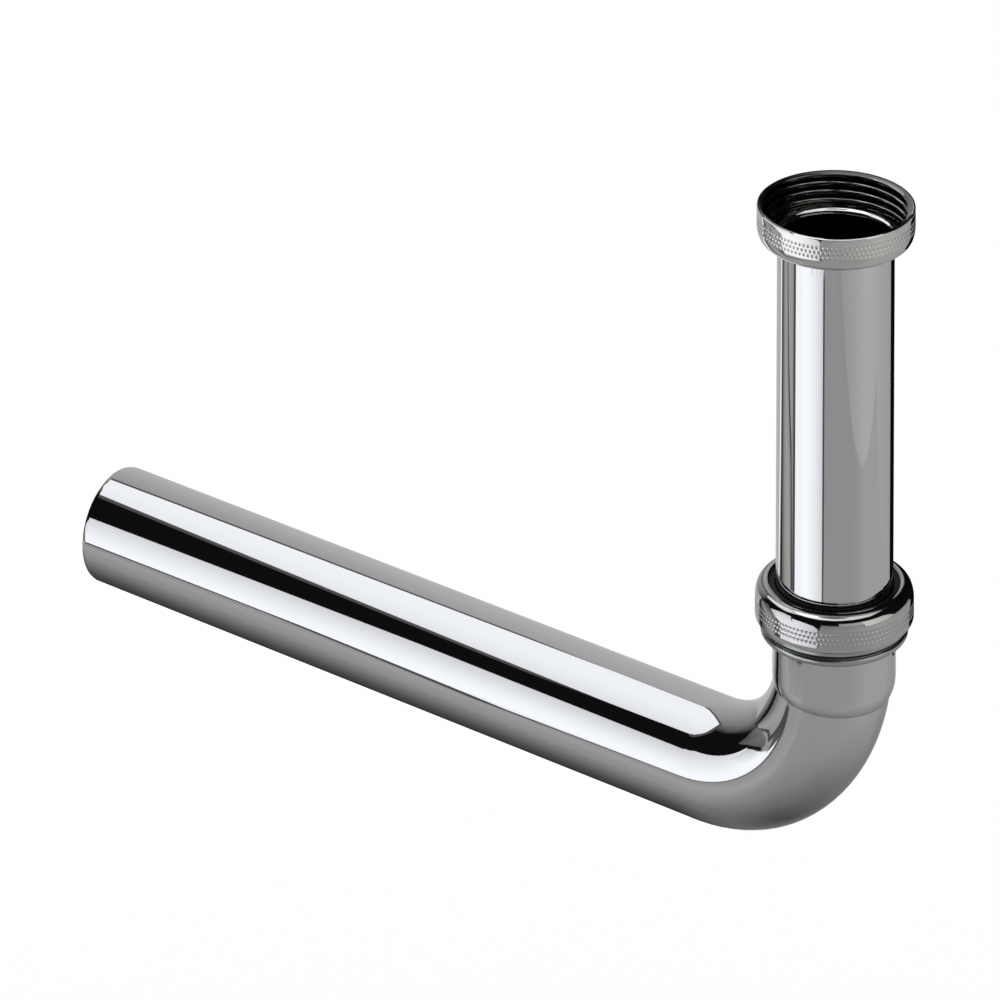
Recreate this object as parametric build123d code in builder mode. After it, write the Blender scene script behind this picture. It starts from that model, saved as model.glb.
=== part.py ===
"""Waste pipe bend for a basin trap, in millimetres.

An upright tube hangs from the trap by its flange and a union nut. Its lower end slides in the socket
of a long tube with one 90 degree bend, where a second nut squeezes a rubber cone round it.

The origin is the centre of the inlet's sealing face, which is the top of the flange. +Z runs up the
upright tube, and the long outlet leg runs along -X.
"""
import os
from math import atan2, cos, sin

from build123d import *

# Upright tube, which slides in the socket
tube_diameter = 32.0
tube_wall = 0.7
tube_length = 114.0             # from the sealing face to its lower end
tube_edge_break = 0.2           # chamfer round its lower end
flange_clearance = 0.276        # radial, inside the nut's thread
flange_bend = 0.8               # inside radius where the wall turns out into the flange
flange_edge = 0.2               # rounding of the flange's rim

# Bent tube with its socket and its long outlet leg
bend_tube_undersize = 0.1       # radial, so much thinner than the upright tube
bend_tube_wall = 0.7
bend_radius = 40.3              # to the centreline
outlet_drop = 155.0             # sealing face down to the outlet's axis
outlet_reach = 256.0            # upright axis out to the end of the outlet
end_ease_length = 1.2           # the outlet's end is eased inwards, to enter a seal
end_ease_depth = 0.2
slide_clearance = 0.08          # radial, between the upright tube and the socket's bore
socket_length = 18.7
neck_length = 5.4               # the socket necks down into the bend over this length
neck_depth = 1.8

# Union nut, used twice: mouth up at the inlet, mouth down on the collar
nut_wall = 0.645                # radial, outside the thread's roots
nut_height = 9.25
nut_skirt = 5.15                # straight side, from the mouth to the dome
nut_dome_width = 2.3            # the dome is two tangent arcs in section
nut_dome_top_radius = 1.7
nut_web = 0.5                   # thickness of the lip that bears on the flange
nut_hole_clearance = 1.9        # radial, round the upright tube
nut_lip_edge = 0.3              # rounding of the hole's outer edge
nut_mouth_edge = 0.25           # chamfer on the outside of the mouth
nut_relief_depth = 0.324        # undercut at the foot of the thread

# Pipe thread of 11 turns to the inch. Round a 32 mm tube it is nominal size 1 1/4, so 41.91 mm
# at the nut's roots and 38.952 mm at its crests
thread_room = 3.476             # radial, from the upright tube out to the nut's crests
thread_depth = 1.479
thread_lead_in = 1.0            # depth of the countersink at the nut's mouth
thread_clearance = 0.28         # radial, between the nut's crests and the collar's plain land

# Collar, brazed round the mouth of the socket
slip_joint_drop = 103.1         # sealing face down to the mouth of the lower nut
collar_braze_gap = 0.02         # radial, filled by the braze
collar_lead_chamfer = 0.6
collar_cone_depth = 3.5         # tapered seat for the rubber, above the socket's mouth
collar_cone_step = 0.15         # radial, ledge at the bottom of the seat
collar_cone_taper = 1.35        # radial, from the bottom of the seat to its top
collar_seat_ledge = 0.2         # short plain bore between the seat and the socket's mouth
collar_nut_gap = 0.4            # bare neck between the nut's mouth and the band
collar_neck_depth = 0.5
collar_band_rise = 0.624        # radial, beyond the nut's crests
collar_band_height = 1.5
collar_groove_height = 0.3
collar_groove_depth = 0.35
collar_bead_height = 2.5        # rounded bead at the foot

# Rubber cone and the slip ring that lies on it
seal_clearance = 0.08           # radial, round the upright tube
seal_rim_thickness = 1.0
seal_rim_clearance = 0.576      # radial, inside the nut's thread
seal_cone_clearance = 0.1       # radial, inside the collar's seat
seal_cone_length = 3.2
ring_clearance = 0.3            # radial, round the upright tube
ring_rim_clearance = 0.476      # radial, inside the nut's thread
ring_thickness = 1.0
ring_nut_gap = 0.05             # between the ring and the nut's lip

# Radii
tube_radius = tube_diameter / 2
bend_tube_radius = tube_radius - bend_tube_undersize
socket_bore_radius = tube_radius + slide_clearance
socket_radius = socket_bore_radius + bend_tube_wall
thread_minor_radius = tube_radius + thread_room
thread_major_radius = thread_minor_radius + thread_depth
nut_radius = thread_major_radius + nut_wall
nut_hole_radius = tube_radius + nut_hole_clearance
nut_relief_radius = thread_minor_radius + nut_relief_depth
flange_radius = thread_minor_radius - flange_clearance
seal_rim_radius = thread_minor_radius - seal_rim_clearance
ring_radius = thread_minor_radius - ring_rim_clearance
collar_land_radius = thread_minor_radius - thread_clearance
collar_bore_radius = socket_radius + collar_braze_gap
collar_cone_foot_radius = collar_bore_radius + collar_cone_step
collar_cone_radius = collar_cone_foot_radius + collar_cone_taper
collar_band_radius = thread_minor_radius + collar_band_rise

# Heights
flange_foot_z = -tube_wall
upper_mouth_z = flange_foot_z - nut_web + nut_height
lower_mouth_z = -slip_joint_drop
ring_top_z = lower_mouth_z + nut_height - nut_web - ring_nut_gap
ring_foot_z = ring_top_z - ring_thickness
collar_top_z = ring_foot_z - seal_rim_thickness
collar_seat_z = collar_top_z - collar_cone_depth
socket_mouth_z = collar_seat_z - collar_seat_ledge
socket_foot_z = socket_mouth_z - socket_length
neck_foot_z = socket_foot_z - neck_length
bend_start_z = bend_radius - outlet_drop
band_top_z = lower_mouth_z - collar_nut_gap
band_foot_z = band_top_z - collar_band_height
bead_top_z = band_foot_z - collar_groove_height
bead_foot_z = bead_top_z - collar_bead_height

os.makedirs("parts", exist_ok=True)


def conduit(inset):
    """Socket, neck, bend and outlet leg as one full form, this far inside the tube's outer surface."""
    leg_top_z = bend_tube_radius - inset - outlet_drop
    with BuildPart() as form:
        # Socket with its neck, turned about the upright axis
        with BuildSketch(Plane.XZ):
            with BuildLine():
                wall_line = Line((socket_radius - inset, socket_mouth_z), (socket_radius - inset, socket_foot_z))
                neck_arc = TangentArc(
                    wall_line @ 1,
                    (socket_radius - neck_depth - inset, neck_foot_z),
                    tangent=(0, -1),
                )
                Polyline(neck_arc @ 1, (0, neck_foot_z), (0, socket_mouth_z), wall_line @ 0)
            make_face()
        revolve(axis=Axis.Z)
        # Bend, a quarter turn from the upright axis to the outlet's axis
        with BuildSketch(Plane(origin=(0, 0, bend_start_z), x_dir=(1, 0, 0), z_dir=(0, 0, -1))):
            Circle(bend_tube_radius - inset)
        revolve(axis=Axis((-bend_radius, 0, bend_start_z), (0, 1, 0)), revolution_arc=90)
        # Outlet leg with its eased end, turned about the outlet's axis
        with BuildSketch(Plane.XZ):
            with BuildLine():
                leg_line = Line((-bend_radius, leg_top_z), (end_ease_length - outlet_reach, leg_top_z))
                ease_arc = TangentArc(
                    leg_line @ 1,
                    (-outlet_reach, leg_top_z - end_ease_depth),
                    tangent=(-1, 0),
                )
                Polyline(ease_arc @ 1, (-outlet_reach, -outlet_drop), (-bend_radius, -outlet_drop), leg_line @ 0)
            make_face()
        revolve(axis=Axis((0, 0, -outlet_drop), (1, 0, 0)))
    return form.part


def nut_section(mouth_z, away):
    """Half section of the nut. away is +1 where the dome lies above the mouth, and -1 below it."""
    def at(radius, depth):
        return (radius, mouth_z + away * depth)

    # The dome's side arc leaves the skirt upright, and its top arc meets the flat lip level
    dome_radius = nut_radius - nut_dome_width
    top_arc_rise = nut_height - nut_skirt - nut_dome_top_radius
    top_arc_room = nut_dome_width - nut_dome_top_radius
    dome_side_radius = (nut_dome_width**2 - nut_dome_top_radius**2 + top_arc_rise**2) / (2 * top_arc_room)
    turn = atan2(top_arc_rise, dome_side_radius - nut_dome_width)
    floor_depth = nut_height - nut_web
    thread_foot_depth = floor_depth - tube_wall
    with BuildSketch(Plane.XZ) as section:
        with BuildLine():
            outside = Polyline(
                at(thread_major_radius, 0),
                at(nut_radius - nut_mouth_edge, 0),
                at(nut_radius, nut_mouth_edge),
                at(nut_radius, nut_skirt),
            )
            shoulder = at(
                dome_radius + nut_dome_top_radius * cos(turn),
                nut_skirt + top_arc_rise + nut_dome_top_radius * sin(turn),
            )
            dome_side = TangentArc(outside @ 1, shoulder, tangent=(0, away))
            dome_top = TangentArc(shoulder, at(dome_radius, nut_height), tangent=dome_side % 1)
            lip = Line(dome_top @ 1, at(nut_hole_radius + nut_lip_edge, nut_height))
            lip_arc = TangentArc(lip @ 1, at(nut_hole_radius, nut_height - nut_lip_edge), tangent=(-1, 0))
            Polyline(
                lip_arc @ 1,
                at(nut_hole_radius, floor_depth),
                at(nut_relief_radius, floor_depth),
                at(nut_relief_radius, thread_foot_depth),
                at(thread_minor_radius, thread_foot_depth),
                at(thread_minor_radius, thread_lead_in),
                outside @ 0,
            )
        make_face()
    return section.sketch


# Long tube: bend, belled socket and outlet leg, drawn from one length
tube_outside = conduit(0)
tube_bore = conduit(bend_tube_wall)
with BuildPart() as bend_tube:
    add(tube_outside)
    add(tube_bore, mode=Mode.SUBTRACT)
bend_tube.part.label = "bend_tube"
export_step(bend_tube.part, "parts/bend_tube.step")

# Turned collar: tapered seat inside, plain land for the thread outside, band and rounded bead below
with BuildPart() as threaded_collar:
    with BuildSketch(Plane.XZ):
        bead_radius = collar_bead_height / 2
        with BuildLine():
            inside = Polyline(
                (collar_cone_radius, collar_top_z),
                (collar_cone_foot_radius, collar_seat_z),
                (collar_bore_radius, collar_seat_z),
                (collar_bore_radius, bead_foot_z),
                (collar_band_radius - bead_radius, bead_foot_z),
            )
            bead = ThreePointArc(
                inside @ 1,
                (collar_band_radius, bead_foot_z + bead_radius),
                (collar_band_radius - bead_radius, bead_top_z),
            )
            Polyline(
                bead @ 1,
                (collar_band_radius - bead_radius, band_foot_z),
                (collar_band_radius - collar_groove_depth, band_foot_z),
                (collar_band_radius, band_foot_z + collar_groove_depth),
                (collar_band_radius, band_top_z - collar_groove_depth),
                (collar_band_radius - collar_groove_depth, band_top_z),
                (collar_land_radius - collar_neck_depth, band_top_z),
                (collar_land_radius - collar_neck_depth, lower_mouth_z),
                (collar_land_radius, lower_mouth_z + collar_neck_depth),
                (collar_land_radius, collar_top_z - collar_lead_chamfer),
                (collar_land_radius - collar_lead_chamfer, collar_top_z),
                inside @ 0,
            )
        make_face()
    revolve(axis=Axis.Z)
threaded_collar.part.label = "threaded_collar"
export_step(threaded_collar.part, "parts/threaded_collar.step")

# Rubber cone: a flat rim on the collar's top, and a taper that the nut drives into the seat
seat_slope = collar_cone_taper / collar_cone_depth
seal_cone_top = collar_cone_radius - seal_cone_clearance
with BuildPart() as cone_seal:
    with BuildSketch(Plane.XZ):
        with BuildLine():
            Polyline(
                (tube_radius + seal_clearance, ring_foot_z),
                (seal_rim_radius, ring_foot_z),
                (seal_rim_radius, collar_top_z),
                (seal_cone_top, collar_top_z),
                (seal_cone_top - seal_cone_length * seat_slope, collar_top_z - seal_cone_length),
                (tube_radius + seal_clearance, collar_top_z - seal_cone_length),
                close=True,
            )
        make_face()
    revolve(axis=Axis.Z)
cone_seal.part.label = "cone_seal"
export_step(cone_seal.part, "parts/cone_seal.step")

# Slip ring: lets the nut turn without dragging the rubber round
with BuildPart() as slip_ring:
    with BuildSketch(Plane.XY.offset(ring_foot_z)):
        Circle(ring_radius)
        Circle(tube_radius + ring_clearance, mode=Mode.SUBTRACT)
    extrude(amount=ring_thickness)
slip_ring.part.label = "slip_ring"
export_step(slip_ring.part, "parts/slip_ring.step")

# Lower nut, dome up, round the slip joint
lower_nut_section = nut_section(lower_mouth_z, 1)
with BuildPart() as lower_nut:
    revolve(lower_nut_section, axis=Axis.Z)
lower_nut.part.label = "lower_nut"
export_step(lower_nut.part, "parts/lower_nut.step")

# Upright tube, with its wall turned out at the top into the flange
with BuildPart() as upper_tube:
    flange_lip = flange_bend + tube_wall
    with BuildSketch(Plane.XZ):
        with BuildLine():
            side = Polyline(
                (tube_radius - tube_wall, -tube_length),
                (tube_radius - tube_edge_break, -tube_length),
                (tube_radius, tube_edge_break - tube_length),
                (tube_radius, flange_foot_z - flange_bend),
            )
            under = TangentArc(side @ 1, (tube_radius + flange_bend, flange_foot_z), tangent=(0, 1))
            rim = Polyline(
                under @ 1,
                (flange_radius - flange_edge, flange_foot_z),
                (flange_radius, flange_foot_z + flange_edge),
                (flange_radius, -flange_edge),
                (flange_radius - flange_edge, 0),
                (tube_radius - tube_wall + flange_lip, 0),
            )
            mouth = TangentArc(rim @ 1, (tube_radius - tube_wall, -flange_lip), tangent=(-1, 0))
            Line(mouth @ 1, side @ 0)
        make_face()
    revolve(axis=Axis.Z)
upper_tube.part.label = "upper_tube"
export_step(upper_tube.part, "parts/upper_tube.step")

# Upper nut, mouth up, bearing on the underside of the flange
upper_nut_section = nut_section(upper_mouth_z, -1)
with BuildPart() as upper_nut:
    revolve(upper_nut_section, axis=Axis.Z)
upper_nut.part.label = "upper_nut"
export_step(upper_nut.part, "parts/upper_nut.step")
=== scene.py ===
import math

import bmesh
import bpy
from mathutils import Matrix, Vector


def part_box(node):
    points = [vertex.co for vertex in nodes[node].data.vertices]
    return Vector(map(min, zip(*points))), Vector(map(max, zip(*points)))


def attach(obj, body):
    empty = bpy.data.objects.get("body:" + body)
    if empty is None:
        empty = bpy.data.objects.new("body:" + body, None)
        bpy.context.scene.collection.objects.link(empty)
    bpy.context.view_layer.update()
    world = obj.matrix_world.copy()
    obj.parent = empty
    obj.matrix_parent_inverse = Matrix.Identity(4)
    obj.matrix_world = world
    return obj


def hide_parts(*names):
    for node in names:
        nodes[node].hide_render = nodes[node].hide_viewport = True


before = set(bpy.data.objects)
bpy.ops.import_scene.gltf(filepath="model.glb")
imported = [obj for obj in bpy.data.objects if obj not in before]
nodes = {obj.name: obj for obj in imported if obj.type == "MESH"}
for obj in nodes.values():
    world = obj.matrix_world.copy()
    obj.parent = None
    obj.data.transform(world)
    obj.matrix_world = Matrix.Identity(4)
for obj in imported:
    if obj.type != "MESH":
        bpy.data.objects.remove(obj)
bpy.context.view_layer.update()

MM = 0.001

# How the photo was taken: a level camera with a shifted lens, so upright edges stay parallel
PHOTO_SIDE = 1000.0                 # px, the picture is square
PX_PER_METRE = 3683.0               # at the upright tube's axis
RIM_ROW = 204.5                     # px row of the centre of the upper nut's rim
UPRIGHT_COLUMN = 834.8              # px column of the upright tube's axis, at the middle row
UPRIGHT_LEAN = 0.0046               # how far upright edges lean to the left on their way down, px per row
CAMERA_DISTANCE = 1.966             # m, level distance to the upright tube's axis
CAMERA_TURN = math.radians(37.55)   # round the upright axis, 0 faces the outlet leg square on
RIM_SLOPE = 0.4445                  # how far the camera looks down on the rim, rise over run
SENSOR_WIDTH = 36.0                 # mm
CLIP_NEAR = 0.05                    # m
CLIP_FAR = 50.0                     # m

RIGHT = Vector((math.cos(CAMERA_TURN), math.sin(CAMERA_TURN), 0))
AHEAD = Vector((-math.sin(CAMERA_TURN), math.cos(CAMERA_TURN), 0))
UP = Vector((0, 0, 1))


def look_through_shifted_lens():
    """The camera at the photo's place. Its skew stands for the lens shift, so the shift itself stays 0."""
    rim_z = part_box("upper_nut")[1].z
    focal_px = PX_PER_METRE * CAMERA_DISTANCE
    sideways = (UPRIGHT_COLUMN - PHOTO_SIDE / 2) / PX_PER_METRE
    place = -sideways * RIGHT - CAMERA_DISTANCE * AHEAD + (RIM_SLOPE * CAMERA_DISTANCE + rim_z) * UP
    dip = math.atan(RIM_SLOPE + (PHOTO_SIDE / 2 - RIM_ROW) / focal_px)
    towards_camera = math.sin(dip) * UP - math.cos(dip) * AHEAD
    leaning_up = UP - UPRIGHT_LEAN * RIGHT
    skew = Matrix((RIGHT, leaning_up, towards_camera)).transposed().to_4x4()
    lens = bpy.data.cameras.new("camera")
    lens.sensor_width = SENSOR_WIDTH
    lens.lens = lens.sensor_width * focal_px / math.cos(dip) / PHOTO_SIDE
    lens.clip_start = CLIP_NEAR
    lens.clip_end = CLIP_FAR
    camera = bpy.data.objects.new("camera", lens)
    stand = bpy.data.objects.new("camera_stand", None)
    for obj in (stand, camera):
        bpy.context.scene.collection.objects.link(obj)
    camera.parent = stand
    camera.matrix_parent_inverse = Matrix.Translation(place) @ skew
    bpy.context.scene.camera = camera


# The studio. The chrome shows what stands round it, so each card's place is given as the bend sees it:
# azimuth from straight away from the camera, right positive, and elevation, both in degrees.
# The number after them is the grey that the plating shows. 255 is white, and some cards outshine it
BEND_X = -0.020
BEND_SPOT = Vector((BEND_X, 0, -0.140))
SURROUND_RADIUS = 2.0
CARD_DISTANCE = 1.0
FAR_WALL_DISTANCE = 1.05            # so that the far wall stands behind the cards
CHROME_TINT = 0.64                  # share of the light that the plating reflects
COOL_LIGHT = (0.973, 0.993, 1.04)
WARM_LIGHT = (1.02, 1.0, 0.93)
BOARD_TINT = (0.985, 1.0, 0.99)


def seen_from_bend(azimuth, elevation, distance=CARD_DISTANCE):
    azimuth, elevation = math.radians(azimuth), math.radians(elevation)
    level = math.cos(azimuth) * AHEAD + math.sin(azimuth) * RIGHT
    return BEND_SPOT + distance * (math.cos(elevation) * level + math.sin(elevation) * UP)


def shown_level(grey):
    """Light a card sends out so that the plating shows it as this sRGB grey. 255 is white."""
    share = grey / 255
    linear = share / 12.92 if share <= 0.04045 else ((share + 0.055) / 1.055) ** 2.4
    return linear / CHROME_TINT


def stage_only_in_reflections(obj):
    obj.visible_camera = False
    obj.visible_diffuse = False
    obj.visible_shadow = False


def glow(name):
    """Emission material and its tree, to be shaped by nodes."""
    material = bpy.data.materials.new(name)
    material.use_nodes = True
    tree = material.node_tree
    tree.nodes.remove(tree.nodes["Principled BSDF"])
    emission = tree.nodes.new("ShaderNodeEmission")
    tree.links.new(emission.outputs[0], tree.nodes["Material Output"].inputs["Surface"])
    return material, tree, emission


def maths(tree, operation, first, second=0.0, third=0.0, clamp=False):
    node = tree.nodes.new("ShaderNodeMath")
    node.operation = operation
    node.use_clamp = clamp
    for socket, value in zip(node.inputs, (first, second, third)):
        if isinstance(value, (int, float)):
            socket.default_value = value
        else:
            tree.links.new(value, socket)
    return node.outputs[0]


def ramp(tree, value, stops):
    """Colour ramp over a 0 to 1 value. stops are (position, brightness)."""
    node = tree.nodes.new("ShaderNodeValToRGB")
    elements = node.color_ramp.elements
    while len(elements) < len(stops):
        elements.new(0.5)
    for element, (position, level) in zip(elements, stops):
        element.position = position
        element.color = (level, level, level, 1)
    tree.links.new(value, node.inputs["Fac"])
    return node.outputs["Color"]


def mix(tree, factor, first, second):
    """Blend of two colours. Each is a colour or a socket that gives one."""
    node = tree.nodes.new("ShaderNodeMix")
    node.data_type = "RGBA"
    tree.links.new(factor, node.inputs["Factor"])
    for socket, value in ((node.inputs["A"], first), (node.inputs["B"], second)):
        if isinstance(value, tuple):
            socket.default_value = value
        else:
            tree.links.new(value, socket)
    return node.outputs["Result"]


def sheet(name, rows, place=seen_from_bend, tint=(1, 1, 1)):
    """Glowing sheet through rows of points. The last number of a point is the grey that the plating shows."""
    width = len(rows[0])
    points = [point for row in rows for point in row]
    faces = []
    for row in range(len(rows) - 1):
        for column in range(width - 1):
            corner = row * width + column
            faces.append((corner, corner + 1, corner + 1 + width, corner + width))
    mesh = bpy.data.meshes.new(name)
    mesh.from_pydata([place(*point[:-1]) for point in points], [], faces)
    glow_levels = mesh.color_attributes.new("glow", "FLOAT_COLOR", "POINT")
    for entry, point in zip(glow_levels.data, points):
        level = shown_level(point[-1])
        entry.color = (level * tint[0], level * tint[1], level * tint[2], 1)
    obj = bpy.data.objects.new(name, mesh)
    bpy.context.scene.collection.objects.link(obj)
    material, tree, emission = glow(name)
    attribute = tree.nodes.new("ShaderNodeAttribute")
    attribute.attribute_name = "glow"
    tree.links.new(attribute.outputs["Color"], emission.inputs["Color"])
    mesh.materials.append(material)
    stage_only_in_reflections(obj)


def even_sheet(name, azimuths, elevations, grey):
    """Four-cornered sheet of one grey, between two azimuths and two elevations."""
    sheet(name, [[(azimuth, elevation, grey) for azimuth in azimuths] for elevation in elevations])


# Tones and edges of the surround, by azimuth in degrees
WALL_GREYS = ((-180, 13), (-58, 13), (-52, 85), (-43, 120), (-28, 143), (-2, 165), (6, 165), (11, 12))
FLOOR_GREYS = ((-180, 147), (-168, 140), (-90, 146), (-72, 154), (-60, 162), (12, 162), (48, 148), (60, 154),
               (84, 159), (96, 164), (110, 168), (122, 168), (134, 162), (146, 157), (160, 151), (180, 147))
FLOOR_EDGE = ((-180, 11), (-160, 11), (-157, -15), (-96, -15), (-84, -11), (-57, -6), (0, -10), (11, -15),
              (45, -15), (52, -5), (92, 0), (140, 0), (142, 8), (180, 11))
# Painted shade: the share of the floor's grey that stays, least straight below the bend where the set's
# shadow would fall, and less again towards the floor's edge
FLOOR_SHADE_SHARES = ((-90, 0.4), (-60, 0.6), (-35, 0.9), (-20, 1.0), (0, 0.85), (12, 0.6))   # by elevation
EDGE_BLUR = 1.0                     # degrees


def surround():
    """Big ball round the set: grey wall behind and right, black to the left, pale floor below with painted
    shade straight under the bend.
    """
    bpy.ops.mesh.primitive_uv_sphere_add(
        segments=64, ring_count=32, radius=SURROUND_RADIUS, location=BEND_SPOT,
    )
    ball = bpy.context.object
    ball.name = "surround"
    ball.rotation_euler.z = CAMERA_TURN
    material, tree, emission = glow("surround")
    where = tree.nodes.new("ShaderNodeTexCoord").outputs["Object"]
    split = tree.nodes.new("ShaderNodeSeparateXYZ")
    tree.links.new(where, split.inputs[0])
    x, y, z = split.outputs
    squares = maths(tree, "ADD", maths(tree, "MULTIPLY", x, x), maths(tree, "MULTIPLY", y, y))
    turn = maths(tree, "ARCTAN2", x, y)
    rise = maths(tree, "ARCTAN2", z, maths(tree, "SQRT", squares))
    azimuth = maths(tree, "MULTIPLY_ADD", turn, 1 / math.tau, 0.5)
    elevation = maths(tree, "MULTIPLY_ADD", rise, 1 / math.pi, 0.5)

    def at_azimuth(degrees):
        return degrees / 360 + 0.5

    def at_elevation(degrees):
        return degrees / 180 + 0.5

    wall = ramp(tree, azimuth, [(at_azimuth(side), shown_level(grey)) for side, grey in WALL_GREYS])
    tones = ramp(tree, azimuth, [(at_azimuth(side), shown_level(grey)) for side, grey in FLOOR_GREYS])
    floor_shade = ramp(tree, elevation, [(at_elevation(height), share) for height, share in FLOOR_SHADE_SHARES])
    floor = maths(tree, "MULTIPLY", tones, floor_shade)
    edge = ramp(tree, azimuth, [(at_azimuth(side), at_elevation(height)) for side, height in FLOOR_EDGE])
    over_edge = maths(tree, "SUBTRACT", elevation, edge)
    above = maths(tree, "MULTIPLY_ADD", over_edge, 180.0 / EDGE_BLUR, 0.5, clamp=True)
    tree.links.new(mix(tree, above, floor, wall), emission.inputs["Color"])
    ball.data.materials.append(material)
    stage_only_in_reflections(ball)


# Board under the bend, in metres
BOARD_Z = -0.217
BOARD_COLUMNS = (-1.0, -0.38, -0.30, -0.195, -0.177, -0.146, -0.078, -0.047, -0.02, 0.02, 0.052, 0.12, 0.35)
BOARD_NEAR_EDGE = (-0.13, -0.165, -0.19, -0.150, -0.162, -0.190, -0.224, -0.235, -0.238, -0.237, -0.234,
                   -0.40, -0.40)
LAST_LEG_COLUMN = 6
FRAME_WIDTH = (0.022, 0.022, 0.022, 0.022, 0.022, 0.016, 0.007) + (0.0,) * 6
FRAME_GREY = 70
FRAME_STEP = 0.001                  # from the frame's grey to the board's
BOARD_GREY = 140
# Painted shadow of the leg on the board: the greys darken towards straight under the leg, then come a white
# strip and the plain board
UNDER_LEG = ((-0.110, 155), (-0.061, 140), (-0.033, 110), (-0.010, 75), (0.010, 54), (0.030, 48),
             (0.036, 250), (0.060, 250), (0.066, 165), (0.213, 165))    # y and grey, near side first
# Painted shadow of the bend on the board
SHADE_GREY = 55                     # straight under the bend
SHADE_REACH = 0.085
SHADE_CURVE = 0.65
FAR_SQUEEZE = 0.55                  # the shade reaches further on the far side
LIGHTER_FROM_X = 0.1
LIGHTER_FROM_Y = -0.1
LIGHTER_OVER = 0.12
LIGHTER_GREY = 13


def grey_with_painted_shadow(x, y):
    """Painted shadow of the bend: dark straight under the bend, paler further out. The board is paler again
    on the right.
    """
    reach = math.hypot(x - BEND_X, y if y < 0 else FAR_SQUEEZE * y)
    grey = SHADE_GREY + (BOARD_GREY - SHADE_GREY) * min(1.0, reach / SHADE_REACH) ** SHADE_CURVE
    if x > LIGHTER_FROM_X:
        grey += LIGHTER_GREY * min(1.0, max(0.0, (y - LIGHTER_FROM_Y) / LIGHTER_OVER))
    return grey


def board():
    """Pale board under the bend. It carries a painted shadow, darker under the leg and under the bend, and is
    white past the leg on its far side.
    """
    rows = []
    for share, step, frame_grey in ((0, 0, FRAME_GREY), (1, 0, FRAME_GREY), (1, FRAME_STEP, BOARD_GREY)):
        row = []
        for number, (x, y) in enumerate(zip(BOARD_COLUMNS, BOARD_NEAR_EDGE)):
            grey = frame_grey if number <= LAST_LEG_COLUMN else BOARD_GREY
            row.append((x, y + share * FRAME_WIDTH[number] + step, grey))
        rows.append(row)
    for y, leg_grey in UNDER_LEG:
        rows.append([
            (x, y, leg_grey if number <= LAST_LEG_COLUMN else grey_with_painted_shadow(x, y))
            for number, x in enumerate(BOARD_COLUMNS)
        ])
    sheet("board", rows, place=lambda x, y: Vector((x, y, BOARD_Z)), tint=BOARD_TINT)


# Softboxes. Those beside the camera end on one level, where the low ones carry on
BOX_FOOT = -16.8
LOW_BOX_FOOT = -30
UPPER_BOX_EDGE = ((-92, 43, 225), (-70, 41.3, 235), (-45, 33, 240), (-30, 39.5, 243), (-16, 45, 240))
BOX_FRAME_GREY = 75
BOX_FRAME_WIDTH = 3
LOW_BOX_GREYS = ((-93.8, 80), (-94.6, 245), (-105, 243), (-117, 251), (-125, 249), (-138, 236),
                 (-148, 221), (-153.5, 208), (-155, 60), (-157, 60), (-158, 140))


def softboxes():
    sheet("upper_softbox", [
        UPPER_BOX_EDGE,
        [(-110, 60, 228), (-80, 60, 236), (-50, 60, 242), (-25, 60, 242), (-5, 60, 236)],
    ], tint=COOL_LIGHT)
    sheet("top_softbox", [
        [(-180, 58, 215), (-150, 58, 215), (-120, 58, 235), (-95, 61, 290), (-50, 61, 300), (-5, 61, 300),
         (30, 58, 220), (60, 56, 180), (106, 56, 220), (140, 58, 215), (180, 58, 215)],
        [(-180, 80, 230), (-150, 80, 250), (-120, 80, 280), (-95, 80, 300), (-50, 80, 300), (-5, 80, 300),
         (30, 80, 260), (60, 80, 240), (106, 80, 230), (140, 80, 230), (180, 80, 230)],
    ])
    sheet("beside_camera", [
        [(92, 0, 178), (105, 0, 192), (122, 0, 206), (139, 0, 210)],
        [(107, 27, 178), (116, 27, 192), (130, 27, 206), (143, 27, 210)],
    ], tint=WARM_LIGHT)
    sheet("behind_camera", [
        [(140, 9, 168), (158, 9, 160), (175, 9, 152)],
        [(143, 27, 168), (158, 27, 160), (175, 27, 152)],
    ])
    sheet("nut_softbox", [
        [(-155.5, -6, 205), (-150, 4, 215), (-140, 8, 228), (-130, 10, 238), (-118, 11, 243)],
        [(-155.5, BOX_FOOT, 205), (-150, BOX_FOOT, 212), (-140, BOX_FOOT, 228), (-130, BOX_FOOT, 240),
         (-118, BOX_FOOT, 247)],
    ], tint=COOL_LIGHT)
    sheet("left_softbox", [
        [(-78, 0, 220), (-91, 14, 215), (-100, 22.5, 208), (-114, 22, 205)],
        [(-80, -2, 195), (-92, 5, 228), (-103, 8, 230), (-116, 8, 228)],
        [(-83, -6, 200), (-92, -4, 240), (-105, -3, 244), (-118, -3, 244)],
        [(-88, -11.5, 238), (-93.5, -13.5, 250), (-105, -12, 250), (-118, -12, 250)],
        [(-93.5, BOX_FOOT, 246), (-95, BOX_FOOT, 250), (-106, BOX_FOOT, 250), (-118, BOX_FOOT, 250)],
    ], tint=COOL_LIGHT)
    sheet("upper_softbox_frame", [
        [(azimuth, elevation - drop, BOX_FRAME_GREY) for azimuth, elevation, grey in UPPER_BOX_EDGE]
        for drop in (0, BOX_FRAME_WIDTH)
    ])
    sheet("low_softbox", [
        [(azimuth, elevation, grey) for azimuth, grey in LOW_BOX_GREYS]
        for elevation in (BOX_FOOT, LOW_BOX_FOOT)
    ], tint=COOL_LIGHT)


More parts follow.
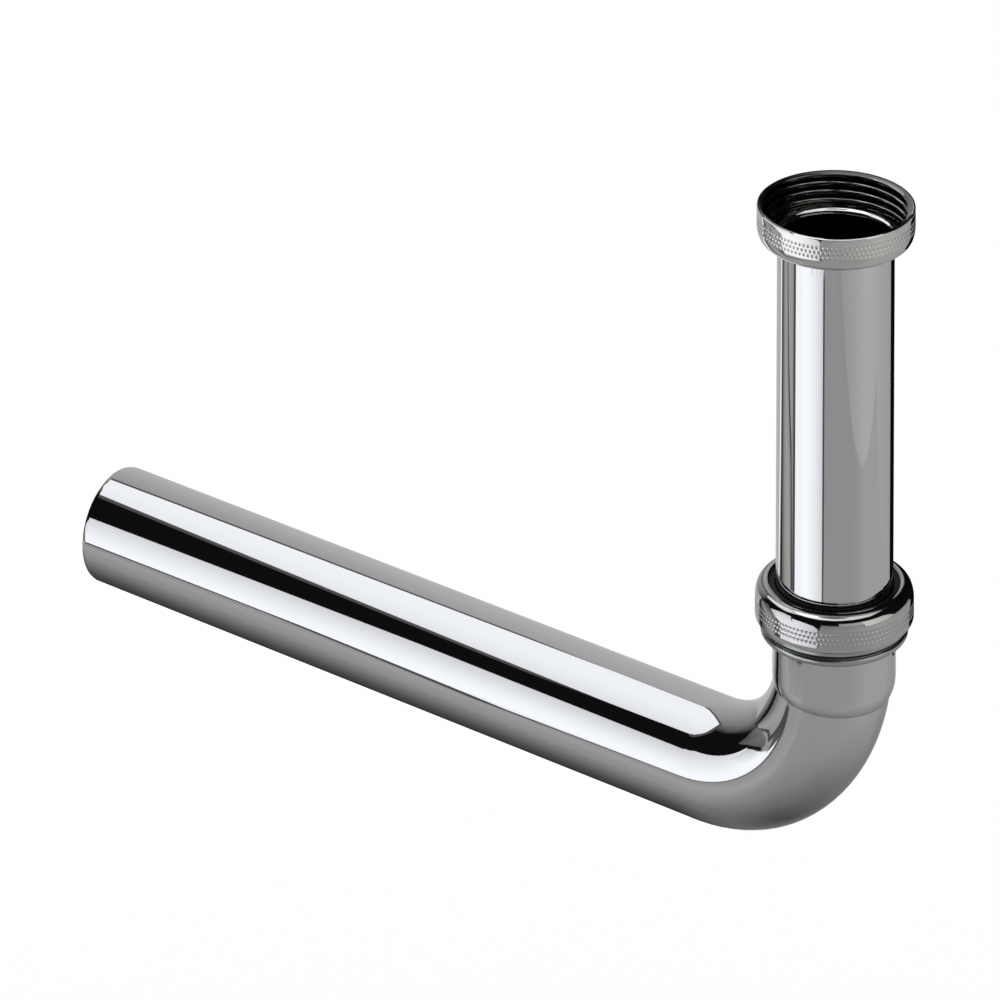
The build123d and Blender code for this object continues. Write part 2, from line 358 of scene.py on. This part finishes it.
def studio():
    surround()
    board()
    softboxes()
    even_sheet("low_softbox_frame", azimuths=(-87.5, -94.2), elevations=(BOX_FOOT, LOW_BOX_FOOT), grey=80)
    even_sheet("rim_flag", azimuths=(0.5, 12), elevations=(29.5, 45), grey=12)
    even_sheet("far_flag", azimuths=(9, 47), elevations=(-12, -28), grey=8)
    sheet("far_wall", [
        [(azimuth, elevation, FAR_WALL_DISTANCE, grey) for azimuth, elevation, grey in row]
        for row in (
            ((-75, 0, 85), (-71, 8.5, 80), (-64, 4, 70), (-57, 0, 60)),
            ((-86, -12.5, 100), (-80, -11.5, 105), (-72, -9, 110), (-57, -6, 115)),
        )
    ])


# Materials. The noise scales are per metre of the piece
HAZE_SCALE = 160.0
HAZE_LEAST = 0.7                    # share of the roughness that stays everywhere
HAZE_RANGE = 0.6                    # share of it that comes and goes
SWELL_SCALE = 55.0
GRAIN_SCALE = 900.0
GRAIN_SHADES = (0.7, 1.3)           # darkest and palest share of the colour
DULL_SHINE = 0.2


def plain_shader(name):
    """New material, its tree and its plain shader."""
    material = bpy.data.materials.new(name)
    material.use_nodes = True
    tree = material.node_tree
    return material, tree, tree.nodes["Principled BSDF"]


def noise(tree, where, scale, detail=2.0):
    """Soft noise from 0 to 1."""
    node = tree.nodes.new("ShaderNodeTexNoise")
    node.inputs["Scale"].default_value = scale
    node.inputs["Detail"].default_value = detail
    tree.links.new(where, node.inputs["Vector"])
    return node.outputs["Fac"]


def raise_surface(tree, shader, height, strength, distance_mm):
    """Lets the height show in the shading."""
    node = tree.nodes.new("ShaderNodeBump")
    node.inputs["Strength"].default_value = strength
    node.inputs["Distance"].default_value = distance_mm * MM
    tree.links.new(height, node.inputs["Height"])
    tree.links.new(node.outputs["Normal"], shader.inputs["Normal"])


def plated(name, roughness, tint=(1, 1, 1), wave=0.0):
    """Bright plating. wave is how much the metal under it undulates, in mm."""
    material, tree, shader = plain_shader(name)
    shader.inputs["Base Color"].default_value = tuple(CHROME_TINT * share for share in tint) + (1,)
    shader.inputs["Metallic"].default_value = 1.0
    where = tree.nodes.new("ShaderNodeTexCoord").outputs["Object"]
    haze = noise(tree, where, HAZE_SCALE, detail=4.0)
    hazy = maths(tree, "MULTIPLY_ADD", haze, roughness * HAZE_RANGE, roughness * HAZE_LEAST)
    tree.links.new(hazy, shader.inputs["Roughness"])
    if wave:
        swell = noise(tree, where, SWELL_SCALE, detail=1.0)
        raise_surface(tree, shader, swell, strength=1.0, distance_mm=wave)
    return material


def moulded(name, colour, roughness, grain):
    """Dull rubber or plastic with a fine moulded grain, in mm."""
    material, tree, shader = plain_shader(name)
    shader.inputs["Roughness"].default_value = roughness
    shader.inputs["Specular IOR Level"].default_value = DULL_SHINE
    where = tree.nodes.new("ShaderNodeTexCoord").outputs["Object"]
    speckle = noise(tree, where, GRAIN_SCALE)
    dark, pale = (tuple(level * share for share in colour) + (1,) for level in GRAIN_SHADES)
    tree.links.new(mix(tree, speckle, dark, pale), shader.inputs["Base Color"])
    raise_surface(tree, shader, speckle, strength=0.5, distance_mm=grain)
    return material


FLOOR_Z = -0.45
FLOOR_SIDE = 12.0
FLOOR_WHITE = 0.86


def pale_floor():
    """White floor well below the bend, which keeps its soft shadow. The plating sees the surround instead."""
    bpy.ops.mesh.primitive_plane_add(size=FLOOR_SIDE, location=(0, 0, FLOOR_Z))
    floor = bpy.context.object
    floor.name = "floor"
    floor.visible_glossy = False
    material, tree, shader = plain_shader("pale_floor")
    shader.inputs["Base Color"].default_value = (FLOOR_WHITE, FLOOR_WHITE, FLOOR_WHITE, 1)
    shader.inputs["Roughness"].default_value = 1.0
    shader.inputs["Specular IOR Level"].default_value = 0.0
    shader.inputs["Emission Color"].default_value = (1, 1, 1, 1)
    path = tree.nodes.new("ShaderNodeLightPath")
    seen = maths(tree, "ADD", path.outputs["Is Camera Ray"], path.outputs["Is Transmission Ray"], clamp=True)
    tree.links.new(maths(tree, "MULTIPLY", seen, 1 - FLOOR_WHITE), shader.inputs["Emission Strength"])
    floor.data.materials.append(material)


# Union nuts and their thread, in millimetres. The sizes are the CAD source's, but for the dome, which is
# a little rounder towards the hole, and the thread's lead-in, which is shorter
NUT_RADIUS = 21.6
NUT_HEIGHT = 9.25
NUT_SKIRT = 5.15
DOME_WIDTH = 2.877
DOME_TOP_RADIUS = 2.6
DOME_SIDE_RADIUS = 6.8
LIP_THICKNESS = 0.5
HOLE_RADIUS = 17.9
HOLE_EDGE = 0.3
LIP_FLAT_EDGE = 0.25
MOUTH_EDGE = 0.25
MOUTH_ROUND = 0.07                  # half way round the mouth's edge
MOUTH_ROUND_DEPTH = 0.14
MOUTH_EDGE_DEPTH = 0.4
RELIEF_RADIUS = 19.8
RELIEF_HEIGHT = 0.7
THREAD_MINOR = 19.476
THREAD_MAJOR = 20.955
THREAD_PITCH = 25.4 / 11
THREAD_LEAD_IN = 0.3
THREAD_RUNOUT = 1.2
THREAD_CREST_SHARE = 0.10           # of half a turn
THREAD_FLANK_SHARE = 0.78
THREAD_ROUNDING = 0.35              # 0 gives straight flanks
THREAD_ROWS = 72
COLLAR_LAND_RADIUS = 19.196
COLLAR_THREAD_CREST = 20.55
COLLAR_THREAD_TOP = 5.9             # above the lower nut's mouth
COLLAR_THREAD_FOOT = 0.7
COLLAR_THREAD_ROWS = 46
COLLAR_END_ROWS = 5                 # over which the thread fades at each end
COLLAR_ROOT_SHARE = 0.08
COLLAR_ROOT_SINK = 0.02             # the roots lie just inside the collar's land
COLLAR_BACK_SINK = 0.3

# Knurl: three staggered rows of dimples rolled into the skirt
DIMPLES_ROUND = 110
DIMPLE_DEPTHS = (2.45, 3.70, 4.95)  # down from the nut's mouth
DIMPLE_RADIUS = 0.42
DIMPLE_SINK = 0.16
DIMPLE_CURVE = 1.5

# Mesh of the nut. The fine part carries the knurl
COARSE_COLUMNS = 220
FINE_COLUMNS = 4 * COARSE_COLUMNS   # join_rings counts on four to one
FIRST_FINE_DEPTH = 1.2
FINE_OVER_DOME = 0.45
FINE_STEP = 0.105
DOME_SIDE_ROWS = 8
DOME_TOP_ROWS = 10
HOLE_EDGE_ROWS = 4
WELD_DISTANCE = 1e-7                # m
SHARP_DEGREES = 32


def ring(bm, height, columns, radius_at):
    """Ring of vertices round the upright axis. radius_at gives its radius at each angle."""
    verts = []
    for column in range(columns):
        angle = math.tau * column / columns
        radius = radius_at(angle)
        x, y = radius * math.cos(angle) * MM, radius * math.sin(angle) * MM
        verts.append(bm.verts.new((x, y, height * MM)))
    return verts


def join_rings(bm, first, second):
    """Band of faces between two rings, of equal count or with four times as many in one of them."""
    if len(first) == len(second):
        count = len(first)
        for column in range(count):
            after = (column + 1) % count
            bm.faces.new((first[column], first[after], second[after], second[column]))
        return
    coarse, fine = (first, second) if len(first) < len(second) else (second, first)
    for column in range(len(coarse)):
        after = (column + 1) % len(coarse)
        here = [fine[(4 * column + step) % len(fine)] for step in range(5)]
        for step in (0, 1):
            bm.faces.new((coarse[column], here[step + 1], here[step]))
        bm.faces.new((coarse[column], coarse[after], here[2]))
        for step in (2, 3):
            bm.faces.new((coarse[after], here[step + 1], here[step]))


def close_mesh(bm, rings, name):
    """Joins the rings one after the other and back to the first, and makes them a smooth object."""
    for first, second in zip(rings, rings[1:] + rings[:1]):
        join_rings(bm, first, second)
    bmesh.ops.remove_doubles(bm, verts=bm.verts, dist=WELD_DISTANCE)
    bmesh.ops.recalc_face_normals(bm, faces=bm.faces)
    mesh = bpy.data.meshes.new(name)
    bm.to_mesh(mesh)
    bm.free()
    mesh.shade_smooth()
    mesh.set_sharp_from_angle(angle=math.radians(SHARP_DEGREES))
    obj = bpy.data.objects.new(name, mesh)
    bpy.context.scene.collection.objects.link(obj)
    return obj


def thread_wave(height, angle):
    """0 on the crests of the female thread and 1 in its roots, for a right hand thread."""
    turn = (height / THREAD_PITCH - angle / math.tau) % 1.0
    slope = 1 - abs(2 * turn - 1)
    level = min(1.0, max(0.0, (slope - THREAD_CREST_SHARE) / THREAD_FLANK_SHARE))
    return level * level * (3 - 2 * level) * THREAD_ROUNDING + level * (1 - THREAD_ROUNDING)


def dimple_sink(depth, angle):
    """How deep the knurl goes in at this depth below the mouth."""
    sink = 0.0
    for row, row_depth in enumerate(DIMPLE_DEPTHS):
        across = depth - row_depth
        if abs(across) >= DIMPLE_RADIUS:
            continue
        turn = angle / math.tau * DIMPLES_ROUND + 0.5 * (row % 2)
        along = (turn - round(turn)) * math.tau * NUT_RADIUS / DIMPLES_ROUND
        share = math.hypot(along, across) / DIMPLE_RADIUS
        if share < 1:
            sink = DIMPLE_SINK * (1 - share * share) ** DIMPLE_CURVE
    return sink


def on_arc(centre_radius, centre_depth, arc_radius, angle):
    return centre_radius + arc_radius * math.cos(angle), centre_depth + arc_radius * math.sin(angle)


def outer_rows():
    """(radius, depth) from the nut's mouth over its dome to the lip's hole, and which rows are fine."""
    rows = [
        (THREAD_MAJOR, 0.0),
        (NUT_RADIUS - MOUTH_EDGE, 0.0),
        (NUT_RADIUS - MOUTH_ROUND, MOUTH_ROUND_DEPTH),
        (NUT_RADIUS, MOUTH_EDGE_DEPTH),
    ]
    first_fine = len(rows)
    depth = FIRST_FINE_DEPTH
    while depth < NUT_SKIRT + FINE_OVER_DOME:
        radius = NUT_RADIUS
        if depth > NUT_SKIRT:
            rise = (depth - NUT_SKIRT) / DOME_SIDE_RADIUS
            radius += DOME_SIDE_RADIUS * (math.sqrt(1 - rise * rise) - 1)
        rows.append((radius, depth))
        depth += FINE_STEP
    last_fine = len(rows) - 1
    side_centre = NUT_RADIUS - DOME_SIDE_RADIUS
    top_centre = NUT_RADIUS - DOME_WIDTH
    start = math.asin((rows[-1][1] - NUT_SKIRT) / DOME_SIDE_RADIUS)
    turn = math.atan2(NUT_HEIGHT - NUT_SKIRT - DOME_TOP_RADIUS, DOME_SIDE_RADIUS - DOME_WIDTH)
    for step in range(1, DOME_SIDE_ROWS + 1):
        angle = start + (turn - start) * step / DOME_SIDE_ROWS
        rows.append(on_arc(side_centre, NUT_SKIRT, DOME_SIDE_RADIUS, angle))
    for step in range(1, DOME_TOP_ROWS + 1):
        angle = turn + (math.pi / 2 - turn) * step / DOME_TOP_ROWS
        rows.append(on_arc(top_centre, NUT_HEIGHT - DOME_TOP_RADIUS, DOME_TOP_RADIUS, angle))
    rows.append((HOLE_RADIUS + HOLE_EDGE + LIP_FLAT_EDGE, NUT_HEIGHT))
    for step in range(HOLE_EDGE_ROWS + 1):
        angle = math.pi / 2 * (1 + step / HOLE_EDGE_ROWS)
        rows.append(on_arc(HOLE_RADIUS + HOLE_EDGE, NUT_HEIGHT - HOLE_EDGE, HOLE_EDGE, angle))
    lip_inside = NUT_HEIGHT - LIP_THICKNESS
    rows += [
        (HOLE_RADIUS, lip_inside),
        (RELIEF_RADIUS, lip_inside),
        (RELIEF_RADIUS, lip_inside - RELIEF_HEIGHT),
    ]
    return rows, first_fine, last_fine


def union_nut(name, mouth_z, away):
    """The nut with its knurl and its thread cut. away is +1 where the dome lies above the mouth."""
    bm = bmesh.new()
    rows, first_fine, last_fine = outer_rows()
    rings = []
    for number, (radius, depth) in enumerate(rows):
        fine = first_fine <= number <= last_fine
        rings.append(ring(
            bm, mouth_z + away * depth, FINE_COLUMNS if fine else COARSE_COLUMNS,
            lambda angle: radius - (dimple_sink(depth, angle) if fine else 0.0),
        ))
    thread_foot = NUT_HEIGHT - LIP_THICKNESS - RELIEF_HEIGHT
    thread_depth = THREAD_MAJOR - THREAD_MINOR
    for step in range(1, THREAD_ROWS):
        depth = thread_foot * (1 - step / THREAD_ROWS)
        height = mouth_z + away * depth
        runout = min(1.0, (thread_foot - depth) / THREAD_RUNOUT)
        flare = max(0.0, 1 - depth / THREAD_LEAD_IN)

        def thread_radius(angle):
            cut = THREAD_MINOR + thread_depth * thread_wave(height, angle) * runout
            mouth_cone = THREAD_MINOR + thread_depth * flare
            return max(cut, mouth_cone)

        rings.append(ring(bm, height, COARSE_COLUMNS, thread_radius))
    return close_mesh(bm, rings, name)


def collar_thread(mouth_z):
    """Male thread of the collar, which the lower nut runs on."""
    bm = bmesh.new()
    rings = []
    for step in range(COLLAR_THREAD_ROWS + 1):
        down = (COLLAR_THREAD_FOOT - COLLAR_THREAD_TOP) * step / COLLAR_THREAD_ROWS
        height = mouth_z + COLLAR_THREAD_TOP + down
        ends = min(1.0, step / COLLAR_END_ROWS, (COLLAR_THREAD_ROWS - step) / COLLAR_END_ROWS)

        def crest_radius(angle):
            rise = max(0.0, thread_wave(height, angle) - COLLAR_ROOT_SHARE) * ends
            return COLLAR_LAND_RADIUS - COLLAR_ROOT_SINK + (COLLAR_THREAD_CREST - COLLAR_LAND_RADIUS) * rise

        rings.append(ring(bm, height, COARSE_COLUMNS, crest_radius))
    for end in (COLLAR_THREAD_FOOT, COLLAR_THREAD_TOP):
        back = COLLAR_LAND_RADIUS - COLLAR_BACK_SINK
        rings.append(ring(bm, mouth_z + end, COARSE_COLUMNS, lambda angle: back))
    return close_mesh(bm, rings, "collar_thread")


# Faces that count as cut thread: this near to the thread's radii, and not level
THREAD_CLEARANCE = 0.02
LEVEL_NORMAL = 0.999


def darken_thread(obj, material):
    """Gives the cut thread a darker plating of its own: every face of the nut inside the outer skin, up to
    the lip.
    """
    obj.data.materials.append(material)
    for face in obj.data.polygons:
        radius = math.hypot(face.center.x, face.center.y) / MM
        inward = face.normal.x * face.center.x + face.normal.y * face.center.y < 0
        if not THREAD_MINOR - THREAD_CLEARANCE < radius < THREAD_MAJOR + THREAD_CLEARANCE:
            continue
        if (inward or radius < RELIEF_RADIUS) and abs(face.normal.z) < LEVEL_NORMAL:
            face.material_index = 1


def dress(obj, material):
    obj.data.materials.clear()
    obj.data.materials.append(material)


look_through_shifted_lens()
studio()

tube_chrome = plated("tube_chrome", roughness=0.035, wave=0.004)
nut_chrome = plated("nut_chrome", roughness=0.07, tint=(1.0, 0.99, 0.965))
# The lower nut is the same part as the upper one; its plating is a darker, greyer copy of the upper nut's:
# painted shade
shaded_nut_chrome = plated("shaded_nut_chrome", roughness=0.07, tint=(0.82, 0.82, 0.81))
# Painted shade: the collar's plating is tinted darker than the nuts' where it sits under the lower nut. It is
# also rougher
shaded_collar_chrome = plated("shaded_collar_chrome", roughness=0.25, tint=(0.68, 0.69, 0.68))
darker_thread_plating = plated("darker_thread_plating", roughness=0.14, tint=(0.36, 0.37, 0.34))
rubber = moulded("black_rubber", colour=(0.006, 0.006, 0.006), roughness=0.6, grain=0.02)
slip_plastic = moulded("slip_plastic", colour=(0.006, 0.006, 0.007), roughness=0.55, grain=0.01)

for part in ("bend_tube", "upper_tube"):
    dress(nodes[part], tube_chrome)
dress(nodes["threaded_collar"], shaded_collar_chrome)
dress(nodes["cone_seal"], rubber)
dress(nodes["slip_ring"], slip_plastic)

upper_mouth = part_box("upper_nut")[1].z / MM
lower_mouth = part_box("lower_nut")[0].z / MM
upper = union_nut("upper_union_nut", upper_mouth, away=-1)
lower = union_nut("lower_union_nut", lower_mouth, away=1)
for piece, node, plating in ((upper, "upper_nut", nut_chrome), (lower, "lower_nut", shaded_nut_chrome)):
    dress(piece, plating)
    darken_thread(piece, darker_thread_plating)
    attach(piece, node)
    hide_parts(node)
thread = collar_thread(lower_mouth)
dress(thread, shaded_collar_chrome)
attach(thread, "bend")

pale_floor()
world = bpy.data.worlds.new("studio")
bpy.context.scene.world = world
world.use_nodes = True
world.node_tree.nodes["Background"].inputs["Color"].default_value = (1, 1, 1, 1)
bpy.context.scene.view_settings.view_transform = "Standard"
